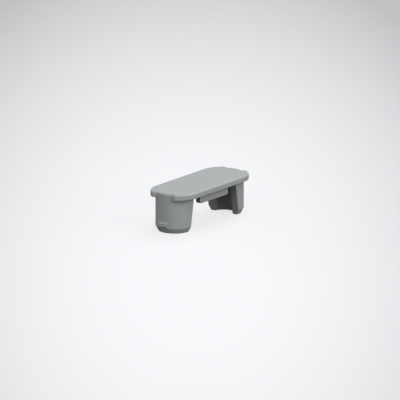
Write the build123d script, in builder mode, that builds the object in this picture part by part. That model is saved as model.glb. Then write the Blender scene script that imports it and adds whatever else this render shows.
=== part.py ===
from build123d import *
import math
import os

# Profile end cap, one plastic moulding that closes the cut end of a flat-oval profile.
#
# The plate bears on the cut end. Two plugs reach down into the profile's round ends:
# each is half round outside and has a channel that opens towards the other plug. A rib
# under each long side of the plate lies just inside the profile's straight walls, and a
# nose on the outer end of each plug catches in the profile. A flared notch in each round
# end of the plate shows the plug's wall, which runs up through it to the outer face.
#
# Frame: X along the plate, Y across it, Z up. The origin is the centre of the plate's
# underside, the face that bears on the profile. Units are millimetres.

# ---- Plate
plate_length = 51.6
plate_width = 20.0
plate_thickness = 2.3
outer_edge_round = 0.85

# ---- Plugs
plug_spacing = 33.4  # between the centres of the plugs' half-round ends
plug_width = 15.0
plug_length = 14.0  # from the plate's underside to the foot
lead_in_height = 2.1  # bevel round the foot, measured up the wall
lead_in_depth = 1.1  # the same bevel, measured in from the wall
arm_reach_at_plate = 3.0  # how far the arms run inward of the plug's centre
arm_reach_at_foot = 0.55
arm_edge_round = 0.35
channel_width = 8.2
end_wall = 4.3  # from the back of the channel to the plug's outer end

# ---- Notches in the plate's round ends
notch_root_width = 6.8  # at the plug's wall
notch_mouth_width = 10.8  # at the plate's edge
notch_root_round = 0.3
notch_mouth_round = 0.9

# ---- Ribs
rib_length = 18.6
rib_height = 4.0
rib_thickness = 2.0
rib_setback = 0.5  # from the side of the plugs to the outer face of the rib
rib_corner_round = 0.9
rib_edge_round = 0.35

# ---- Snap noses
nose_width = 3.8
nose_depth = 0.55  # how far the nose stands out of the plug's wall
nose_ramp_height = 0.75  # the bevel below its face, which eases it in
nose_face_height = 1.2
nose_catch_height = 0.55  # the bevel above its face, which holds it

# ---- Worked out from the sizes above
plate_end_radius = plate_width / 2
plate_end_centre = plate_length / 2 - plate_end_radius
plug_radius = plug_width / 2
plug_centre = plug_spacing / 2
plug_end = plug_centre + plug_radius
notch_root_x = plug_centre + math.sqrt(plug_radius**2 - (notch_root_width / 2) ** 2)
notch_mouth_x = plate_end_centre + math.sqrt(plate_end_radius**2 - (notch_mouth_width / 2) ** 2)
arm_blank_reach = arm_reach_at_plate + lead_in_depth
rib_middle = plug_radius - rib_setback - rib_thickness / 2
nose_bottom = lead_in_height - plug_length
nose_face_bottom = nose_bottom + nose_ramp_height
nose_face_top = nose_face_bottom + nose_face_height
nose_top = nose_face_top + nose_catch_height

os.makedirs("parts", exist_ok=True)

with BuildPart() as end_cap:
    # Plate. The plug's round end is put back into each notch, so that the notch's
    # root is the plug's own wall.
    with BuildSketch() as plate_outline:
        SlotOverall(plate_length, plate_width)
        for side in (1, -1):
            with BuildLine():
                Polyline(
                    (side * notch_root_x, -notch_root_width / 2),
                    (side * notch_mouth_x, -notch_mouth_width / 2),
                    (side * plate_length, -notch_mouth_width / 2),
                    (side * plate_length, notch_mouth_width / 2),
                    (side * notch_mouth_x, notch_mouth_width / 2),
                    (side * notch_root_x, notch_root_width / 2),
                    close=True,
                )
            make_face(mode=Mode.SUBTRACT)
        with Locations((plug_centre, 0), (-plug_centre, 0)):
            Circle(plug_radius)
        for width, radius in (
            (notch_root_width, notch_root_round),
            (notch_mouth_width, notch_mouth_round),
        ):
            corners = plate_outline.vertices().filter_by(
                lambda corner: math.isclose(abs(corner.Y), width / 2, abs_tol=1e-4)
            )
            fillet(corners, radius)
    extrude(amount=plate_thickness)
    fillet(end_cap.faces().sort_by(Axis.Z)[-1].outer_wire().edges(), outer_edge_round)

    # Plugs, as solid blocks with the bevel that leads them in.
    with BuildSketch():
        for side in (1, -1):
            with Locations((side * plug_centre, 0)):
                Circle(plug_radius)
            with Locations((side * (plug_centre - arm_blank_reach / 2), 0)):
                Rectangle(arm_blank_reach, plug_width)
    extrude(amount=-plug_length)
    for foot in end_cap.faces().group_by(Axis.Z)[0]:
        chamfer(foot.edges(), lead_in_depth, lead_in_height, reference=foot)

    # One slot makes both channels, and one sloping cut makes both mouths.
    with BuildSketch():
        SlotOverall(2 * (plug_end - end_wall), channel_width)
    extrude(amount=-plug_length, mode=Mode.SUBTRACT)
    with BuildSketch(Plane.XZ):
        with BuildLine():
            Polyline(
                (plug_centre - arm_reach_at_plate, 0),
                (plug_centre - arm_reach_at_foot, -plug_length),
                (arm_reach_at_foot - plug_centre, -plug_length),
                (arm_reach_at_plate - plug_centre, 0),
                close=True,
            )
        make_face()
    extrude(amount=plug_width, both=True, mode=Mode.SUBTRACT)

    # The arms' edges are eased along their mouths and all round the foot.
    mouths = end_cap.faces().filter_by(
        lambda face: face.geom_type == GeomType.PLANE
        and abs(face.normal_at().X) > 0.5
        and face.normal_at().Z < -0.01
    )
    feet = end_cap.faces().group_by(Axis.Z)[0]
    seat_edges = mouths.edges().group_by(Axis.Z)[-1]
    fillet((mouths.edges() + feet.edges()) - seat_edges, arm_edge_round)

    # Ribs, with their lower corners and edges rounded.
    with BuildSketch(Plane.XZ.offset(rib_middle), Plane.XZ.offset(-rib_middle)) as rib_side:
        Rectangle(rib_length, rib_height, align=(Align.CENTER, Align.MAX))
        fillet(rib_side.vertices().group_by(Axis.Y)[0], rib_corner_round)
    extrude(amount=rib_thickness / 2, both=True)

    # Snap noses, from the top of the lead-in up.
    with BuildSketch(Plane.XZ):
        for side in (1, -1):
            with BuildLine():
                Polyline(
                    (side * (plug_end - nose_depth), nose_bottom),
                    (side * plug_end, nose_bottom),
                    (side * (plug_end + nose_depth), nose_face_bottom),
                    (side * (plug_end + nose_depth), nose_face_top),
                    (side * plug_end, nose_top),
                    (side * (plug_end - nose_depth), nose_top),
                    close=True,
                )
            make_face()
    extrude(amount=nose_width / 2, both=True)

end_cap.part.label = "end_cap"
export_step(end_cap.part, "parts/end_cap.step")
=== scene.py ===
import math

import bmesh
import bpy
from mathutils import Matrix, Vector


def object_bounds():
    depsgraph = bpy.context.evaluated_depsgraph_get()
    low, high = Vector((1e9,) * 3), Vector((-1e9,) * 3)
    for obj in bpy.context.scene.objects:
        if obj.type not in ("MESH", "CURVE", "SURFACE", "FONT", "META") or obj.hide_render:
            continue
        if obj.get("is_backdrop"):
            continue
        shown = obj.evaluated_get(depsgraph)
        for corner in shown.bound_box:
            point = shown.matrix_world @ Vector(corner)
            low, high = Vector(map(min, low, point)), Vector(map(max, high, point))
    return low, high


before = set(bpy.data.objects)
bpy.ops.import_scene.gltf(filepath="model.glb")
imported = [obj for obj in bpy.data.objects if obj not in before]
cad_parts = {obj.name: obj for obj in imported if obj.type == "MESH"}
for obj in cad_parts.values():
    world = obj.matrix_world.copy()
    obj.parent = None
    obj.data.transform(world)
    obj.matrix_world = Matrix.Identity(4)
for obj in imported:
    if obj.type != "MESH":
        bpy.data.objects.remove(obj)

# %% [markdown]
# # Profile end cap
#
# A profile end cap is one small plastic moulding that closes the cut end of a flat-oval
# profile. The plate bears on the cut end, and two half-round plugs and two ribs below it
# sit inside the profile. The whole form is in the CAD model, so this scene adds no pieces.
# It gives the moulding its plastic, stands it on a white table, lights it and frames it.
#
# Lengths are in metres. X runs along the plate, Y across it and Z up. The origin is the
# centre of the plate's underside.

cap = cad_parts["end_cap"]
bounds_at_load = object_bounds()
lowest, highest = bounds_at_load
print("end cap, mm:", [round((high - low) * 1000, 2) for low, high in zip(lowest, highest)])
print("facets:", len(cap.data.polygons))

# %% [markdown]
# ## Smooth walls
#
# The round walls and fillets come out of the CAD model as narrow flat facets. Smooth
# shading joins the facets wherever the surface turns by less than 30 degrees, and the real
# edges stay crisp. Normals weighted by area keep the large flat faces flat beside a fillet.
# The alternative, a finer mesh, would make the part heavier and look the same.

# %% Smooth shading that keeps the moulded edges
smooth_below = math.radians(30)
cap.data.shade_smooth()
cap.data.set_sharp_from_angle(angle=smooth_below)
flat_faces = cap.modifiers.new("Flat faces stay flat", "WEIGHTED_NORMAL")
flat_faces.weight = 100
flat_faces.keep_sharp = True
print("sharp edges:", sum(edge.use_edge_sharp for edge in cap.data.edges))

# %% [markdown]
# ## Helpers for the materials
#
# Every material below is built from nodes. `node` makes one node and sets its values,
# `join` links sockets in pairs, and `group` makes a node group with named sockets, so that
# an effect is written once and can be used again in another material. `spread` turns a
# noise, which mostly stays between 0.3 and 0.7, into any other range.

# %% Node helpers
noise_low, noise_high = 0.3, 0.7


def node(tree, kind, values=None, **settings):
    """One node of that kind, its settings and the values of its unlinked inputs set."""
    made = tree.nodes.new(kind)
    for name, setting in settings.items():
        setattr(made, name, setting)
    for name, value in (values or {}).items():
        made.inputs[name].default_value = value
    return made


def join(tree, *pairs):
    """Links each pair of an output and an input."""
    for source, target in pairs:
        tree.links.new(source, target)


def group(name, inputs, outputs):
    """An empty node group with those sockets, and its input and output nodes."""
    tree = bpy.data.node_groups.new(name, "ShaderNodeTree")
    for socket, kind in inputs.items():
        tree.interface.new_socket(name=socket, in_out="INPUT", socket_type=kind)
    for socket, kind in outputs.items():
        tree.interface.new_socket(name=socket, in_out="OUTPUT", socket_type=kind)
    return tree, tree.nodes.new("NodeGroupInput"), tree.nodes.new("NodeGroupOutput")


def spread(tree, noise, low, high):
    """A noise's middle range spread over low to high."""
    ranged = node(
        tree,
        "ShaderNodeMapRange",
        {"From Min": noise_low, "From Max": noise_high, "To Min": low, "To Max": high},
    )
    join(tree, (noise.outputs["Fac"], ranged.inputs["Value"]))
    return ranged.outputs["Result"]


# %% [markdown]
# ## Fine grain of the mould
#
# A moulded plastic face copies the eroded steel of its mould: a grain a third of a
# millimetre across and a few hundredths deep, which breaks reflections up into a satin
# sheen. The melt also cools unevenly, so the shade drifts slightly over several
# millimetres. One noise drives the grain's bump and its roughness, so that the two agree,
# and a slower noise drives the drift.

# %% Group: moulded grain
grains_per_metre = 3000
drifts_per_metre = 130
grain_depth = 0.00002
grain_strength = 0.3
grain_shade = (0.98, 1.02)
drift_shade = (0.985, 1.015)
satin_roughness = (0.46, 0.58)

grain_group, given, result = group(
    "Moulded grain",
    {"Coordinates": "NodeSocketVector", "Surface": "NodeSocketVector"},
    {"Shade": "NodeSocketFloat", "Roughness": "NodeSocketFloat", "Normal": "NodeSocketVector"},
)
grain = node(
    grain_group,
    "ShaderNodeTexNoise",
    {"Scale": grains_per_metre, "Detail": 2.0, "Roughness": 0.55},
)
drift = node(
    grain_group,
    "ShaderNodeTexNoise",
    {"Scale": drifts_per_metre, "Detail": 3.0, "Roughness": 0.5},
)
shade = node(grain_group, "ShaderNodeMath", operation="MULTIPLY")
relief = node(
    grain_group, "ShaderNodeBump", {"Strength": grain_strength, "Distance": grain_depth}
)
join(
    grain_group,
    (given.outputs["Coordinates"], grain.inputs["Vector"]),
    (given.outputs["Coordinates"], drift.inputs["Vector"]),
    (spread(grain_group, grain, *grain_shade), shade.inputs[0]),
    (spread(grain_group, drift, *drift_shade), shade.inputs[1]),
    (grain.outputs["Fac"], relief.inputs["Height"]),
    (given.outputs["Surface"], relief.inputs["Normal"]),
    (shade.outputs["Value"], result.inputs["Shade"]),
    (spread(grain_group, grain, *satin_roughness), result.inputs["Roughness"]),
    (relief.outputs["Normal"], result.inputs["Normal"]),
)
print("grain size, mm:", round(1000 / grains_per_metre, 2))

# %% [markdown]
# ## Edge highlights
#
# No mould has a perfectly sharp edge, and a rounded edge catches a thin highlight. Where the
# rounded surface turns away from the true one there is an edge, so the angle between the two
# gives a mask without any texture map, and the colour is lifted on it as a painted highlight.

# %% Group: moulded edges
edge_starts_at = 0.99  # cosine of the angle between the two surfaces
edge_full_at = 0.8

edge_group, given, result = group(
    "Moulded edges",
    {"Rounded": "NodeSocketVector", "True": "NodeSocketVector"},
    {"Edge": "NodeSocketFloat"},
)
agreement = node(edge_group, "ShaderNodeVectorMath", operation="DOT_PRODUCT")
edge_range = node(
    edge_group,
    "ShaderNodeMapRange",
    {"From Min": edge_starts_at, "From Max": edge_full_at, "To Min": 0.0, "To Max": 1.0},
)
join(
    edge_group,
    (given.outputs["Rounded"], agreement.inputs[0]),
    (given.outputs["True"], agreement.inputs[1]),
    (agreement.outputs["Value"], edge_range.inputs["Value"]),
    (edge_range.outputs["Result"], result.inputs["Edge"]),
)
print("node groups:", grain_group.name, "and", edge_group.name)

# %% [markdown]
# ## The plastic
#
# The cap is moulded in a neutral light grey with the faintest green in it. The colour is
# multiplied by the grain's shade and lifted a little on the edges as a painted highlight,
# and the surface is a plain satin plastic. The rounding of the edges is done in the shading,
# because 0.3 mm is too small to be worth facets. Light that has bounced off the plastic once
# is dimmed before it lands on it again, which keeps the channels and the corners under the
# plate deep.

# %% Material: light grey moulded plastic
plastic_colour = (0.421, 0.429, 0.420)
edge_rounding = 0.0003
# painted highlight: the plastic's colour is lifted by this much on the edges
edge_highlight_level = 0.05
bounce_kept = 0.15
satin_reflection = 0.4

plastic = bpy.data.materials.new("Light grey moulded plastic")
plastic.use_nodes = True
tree = plastic.node_tree
surface = tree.nodes["Principled BSDF"]
surface.inputs["Specular IOR Level"].default_value = satin_reflection
place = node(tree, "ShaderNodeTexCoord")
rounded = node(tree, "ShaderNodeBevel", {"Radius": edge_rounding}, samples=6)
true_surface = node(tree, "ShaderNodeNewGeometry")
seen = node(tree, "ShaderNodeLightPath")
grain_effect = node(tree, "ShaderNodeGroup", node_tree=grain_group)
edge_effect = node(tree, "ShaderNodeGroup", node_tree=edge_group)
# painted highlight on the edges: the colour is scaled by one plus the edge mask times the lift
painted_edge_highlight = node(tree, "ShaderNodeMath", {1: edge_highlight_level, 2: 1.0}, operation="MULTIPLY_ADD")
level = node(tree, "ShaderNodeMath", operation="MULTIPLY")
kept = node(tree, "ShaderNodeMapRange", {"To Min": 1.0, "To Max": bounce_kept})
dimmed = node(tree, "ShaderNodeMath", operation="MULTIPLY")
colour = node(tree, "ShaderNodeVectorMath", {0: plastic_colour}, operation="SCALE")
join(
    tree,
    (place.outputs["Object"], grain_effect.inputs["Coordinates"]),
    (rounded.outputs["Normal"], grain_effect.inputs["Surface"]),
    (rounded.outputs["Normal"], edge_effect.inputs["Rounded"]),
    (true_surface.outputs["Normal"], edge_effect.inputs["True"]),
    (edge_effect.outputs["Edge"], painted_edge_highlight.inputs[0]),
    (grain_effect.outputs["Shade"], level.inputs[0]),
    (painted_edge_highlight.outputs["Value"], level.inputs[1]),
    (seen.outputs["Is Diffuse Ray"], kept.inputs["Value"]),
    (level.outputs["Value"], dimmed.inputs[0]),
    (kept.outputs["Result"], dimmed.inputs[1]),
    (dimmed.outputs["Value"], colour.inputs["Scale"]),
    (colour.outputs["Vector"], surface.inputs["Base Color"]),
    (grain_effect.outputs["Roughness"], surface.inputs["Roughness"]),
    (grain_effect.outputs["Normal"], surface.inputs["Normal"]),
)

cap.data.materials.clear()
cap.data.materials.append(plastic)
print("finish:", cap.data.materials[0].name)

# %% [markdown]
# ## The table
#
# The cap stands on the feet of its two plugs, on a table so large that its edge is never
# seen. The top lies a hundredth of a millimetre below the feet, so that the two faces don't
# share a plane and flicker.

# %% Table top
table_size = 4.0
table_height = lowest[2] - 0.00001

mesh = bpy.data.meshes.new("Table")
shape = bmesh.new()
bmesh.ops.create_grid(shape, x_segments=1, y_segments=1, size=table_size / 2)
shape.to_mesh(mesh)
shape.free()
table = bpy.data.objects.new("Table", mesh)
table.location.z = table_height
bpy.context.scene.collection.objects.link(table)
table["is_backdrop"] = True
print("table at, mm:", round(table_height * 1000, 2))

# %% [markdown]
# ## The table's painted glow
#
# The table is white, and a painted glow that only the camera sees stands in for light from
# below and keeps the cap's shadow on it faint. To the eye it is nearly white. To the light
# that bounces it is darker, so that it doesn't fill the channels and the undersides, which
# are deep and dark on this part. Its colour and glow are painted as a pool of light,
# brightest at one spot, which is drawn out away from the viewer, and falling off to grey
# with the distance from it. From below the table is clear, so that the cap's underside can
# be looked at.

# %% Material: white table with a painted glow and a faint shadow
table_bounce = 0.12
table_white = 0.196
# painted glow: emission that only the camera sees, in place of light from below
table_glow = 0.770
glow_colour = (0.978, 0.978, 1.0, 1.0)
# painted pool of light on the table: its colour and glow fall off away from one bright spot
spot_turn = math.radians(53.77)
spot_middle = (-0.0038, -0.0193)
spot_draw = 0.2556
spot_reach = 0.1346
spot_drop = 0.442  # how much darker the table is at the spot's reach and beyond
spot_curve = 2.1

table_finish = bpy.data.materials.new("White table")
table_finish.use_nodes = True
tree = table_finish.node_tree
surface = tree.nodes["Principled BSDF"]
surface.inputs["Emission Color"].default_value = glow_colour
surface.inputs["Roughness"].default_value = 0.9
surface.inputs["Specular IOR Level"].default_value = 0.0
seen = node(tree, "ShaderNodeLightPath")
place = node(tree, "ShaderNodeTexCoord")
turned = node(tree, "ShaderNodeVectorRotate", {"Angle": spot_turn}, rotation_type="Z_AXIS")
drawn = node(tree, "ShaderNodeVectorMath", {1: (1.0, spot_draw, 0.0)}, operation="MULTIPLY")
moved = node(tree, "ShaderNodeVectorMath", {1: (*spot_middle, 0.0)}, operation="SUBTRACT")
away = node(tree, "ShaderNodeVectorMath", operation="LENGTH")
reach = node(tree, "ShaderNodeMath", {1: spot_reach}, operation="DIVIDE", use_clamp=True)
curve = node(tree, "ShaderNodeMath", {1: spot_curve}, operation="POWER")
# painted pool of light: one at the spot, falling to one minus the drop at its reach
painted_light_pool = node(tree, "ShaderNodeMath", {1: -spot_drop, 2: 1.0}, operation="MULTIPLY_ADD")
white = node(tree, "ShaderNodeMapRange", {"To Min": table_bounce, "To Max": table_white})
toned_white = node(tree, "ShaderNodeMath", operation="MULTIPLY")
painted_glow = node(tree, "ShaderNodeMath", {1: table_glow}, operation="MULTIPLY")
toned_glow = node(tree, "ShaderNodeMath", operation="MULTIPLY")
below = node(tree, "ShaderNodeNewGeometry")
clear = node(tree, "ShaderNodeBsdfTransparent")
clear_below = node(tree, "ShaderNodeMixShader")
join(
    tree,
    (place.outputs["Object"], turned.inputs["Vector"]),
    (turned.outputs["Vector"], drawn.inputs[0]),
    (drawn.outputs["Vector"], moved.inputs[0]),
    (moved.outputs["Vector"], away.inputs[0]),
    (away.outputs["Value"], reach.inputs[0]),
    (reach.outputs["Value"], curve.inputs[0]),
    (curve.outputs["Value"], painted_light_pool.inputs[0]),
    (seen.outputs["Is Camera Ray"], white.inputs["Value"]),
    (seen.outputs["Is Camera Ray"], painted_glow.inputs[0]),
    (white.outputs["Result"], toned_white.inputs[0]),
    (painted_light_pool.outputs["Value"], toned_white.inputs[1]),
    (painted_glow.outputs["Value"], toned_glow.inputs[0]),
    (painted_light_pool.outputs["Value"], toned_glow.inputs[1]),
    (toned_white.outputs["Value"], surface.inputs["Base Color"]),
    (toned_glow.outputs["Value"], surface.inputs["Emission Strength"]),
    (below.outputs["Backfacing"], clear_below.inputs["Fac"]),
    (surface.outputs["BSDF"], clear_below.inputs[1]),
    (clear.outputs["BSDF"], clear_below.inputs[2]),
    (clear_below.outputs["Shader"], tree.nodes["Material Output"].inputs["Surface"]),
)
mesh.materials.append(table_finish)
print("table tone at the spot's reach:", round(1 - spot_drop, 3))

# %% [markdown]
# ## Lamps
#
# Large soft lamps stand round the table, the strongest high on the right and in front, and
# a weak one behind shows the far side. A lamp's level is the brightness it gives a white
# face turned square on to it, so that levels near one in all render a colour about as it
# is written.

# %% Soft lamps
front_level = 0.395
near_high_level = 0.118
right_high_level = 0.394
left_level = 0.152
back_level = 0.15
lamp_distance = 0.8
lamp_size = 0.5


def softbox(name, towards, level):
    """A square soft lamp that stands in that direction from the cap and faces it."""
    light = bpy.data.lights.new(name, "AREA")
    light.size = lamp_size
    light.energy = level * (math.pi * lamp_distance) ** 2
    lamp = bpy.data.objects.new(name, light)
    direction = Vector(towards).normalized()
    lamp.location = direction * lamp_distance
    lamp.rotation_euler = direction.to_track_quat("Z", "Y").to_euler()
    lamp.visible_camera = False
    bpy.context.scene.collection.objects.link(lamp)
    print(name, "power, W:", round(light.energy, 2))


softbox("Front softbox", (0, -1, 0.5), front_level)
softbox("Near high softbox", (-0.8, -0.6, 1.2), near_high_level)
softbox("Right high softbox", (1, 0, 1.2), right_high_level)
softbox("Left softbox", (-1, 0, 0.5), left_level)
softbox("Back softbox", (0.3, 1, 0.4), back_level)

# %% [markdown]
# ## Sky
#
# The sky is a weak even light, slightly cool, that keeps the shadows from going quite
# black. Where the camera sees past the table, the sky is bright and nearly white.

# %% Sky
sky_level = 0.448
sky_tint = (0.885, 0.939, 1.000)

world = bpy.data.worlds.new("Studio")
world.use_nodes = True
bpy.context.scene.world = world
tree = world.node_tree
sky = tree.nodes["Background"]
sky.inputs["Color"].default_value = (*sky_tint, 1.0)
seen = node(tree, "ShaderNodeLightPath")
strength = node(tree, "ShaderNodeMapRange", {"To Min": sky_level, "To Max": 1.0})
join(
    tree,
    (seen.outputs["Is Camera Ray"], strength.inputs["Value"]),
    (strength.outputs["Result"], sky.inputs["Strength"]),
)
print("sky level:", sky_level)

# %% [markdown]
# ## Camera
#
# The cap is seen from its left and a little above, through a very long lens, as small
# parts are shown in a catalogue: parallel edges stay parallel and sizes can be compared.

# %% Camera
azimuth = math.radians(-53.77)
elevation = math.radians(14.81)
camera_distance = 5.0
width_in_view = 0.15722
looking_at = Vector((-0.001509, -0.001228, -0.005051))

towards_camera = Vector(
    (
        math.sin(azimuth) * math.cos(elevation),
        -math.cos(azimuth) * math.cos(elevation),
        math.sin(elevation),
    )
)
lens = bpy.data.cameras.new("Long lens")
lens.sensor_width = 36.0
lens.lens = lens.sensor_width * camera_distance / width_in_view
lens.clip_start = 1.0
lens.clip_end = 20.0
camera = bpy.data.objects.new("Camera", lens)
camera.location = looking_at + towards_camera * camera_distance
camera.rotation_euler = towards_camera.to_track_quat("Z", "Y").to_euler()
bpy.context.scene.collection.objects.link(camera)
bpy.context.scene.camera = camera
bpy.context.scene.view_settings.view_transform = "Standard"
print("lens, mm:", round(lens.lens))

# %% [markdown]
# ## Size kept
#
# The dressed part must be exactly as large as the CAD part. Both bounds are kept beside
# the scene, so that they can be compared.

# %% Bounds before and after, and the end
bounds_at_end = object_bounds()
lowest, highest = bounds_at_end
print("at the end, mm:", [round((high - low) * 1000, 2) for low, high in zip(lowest, highest)])
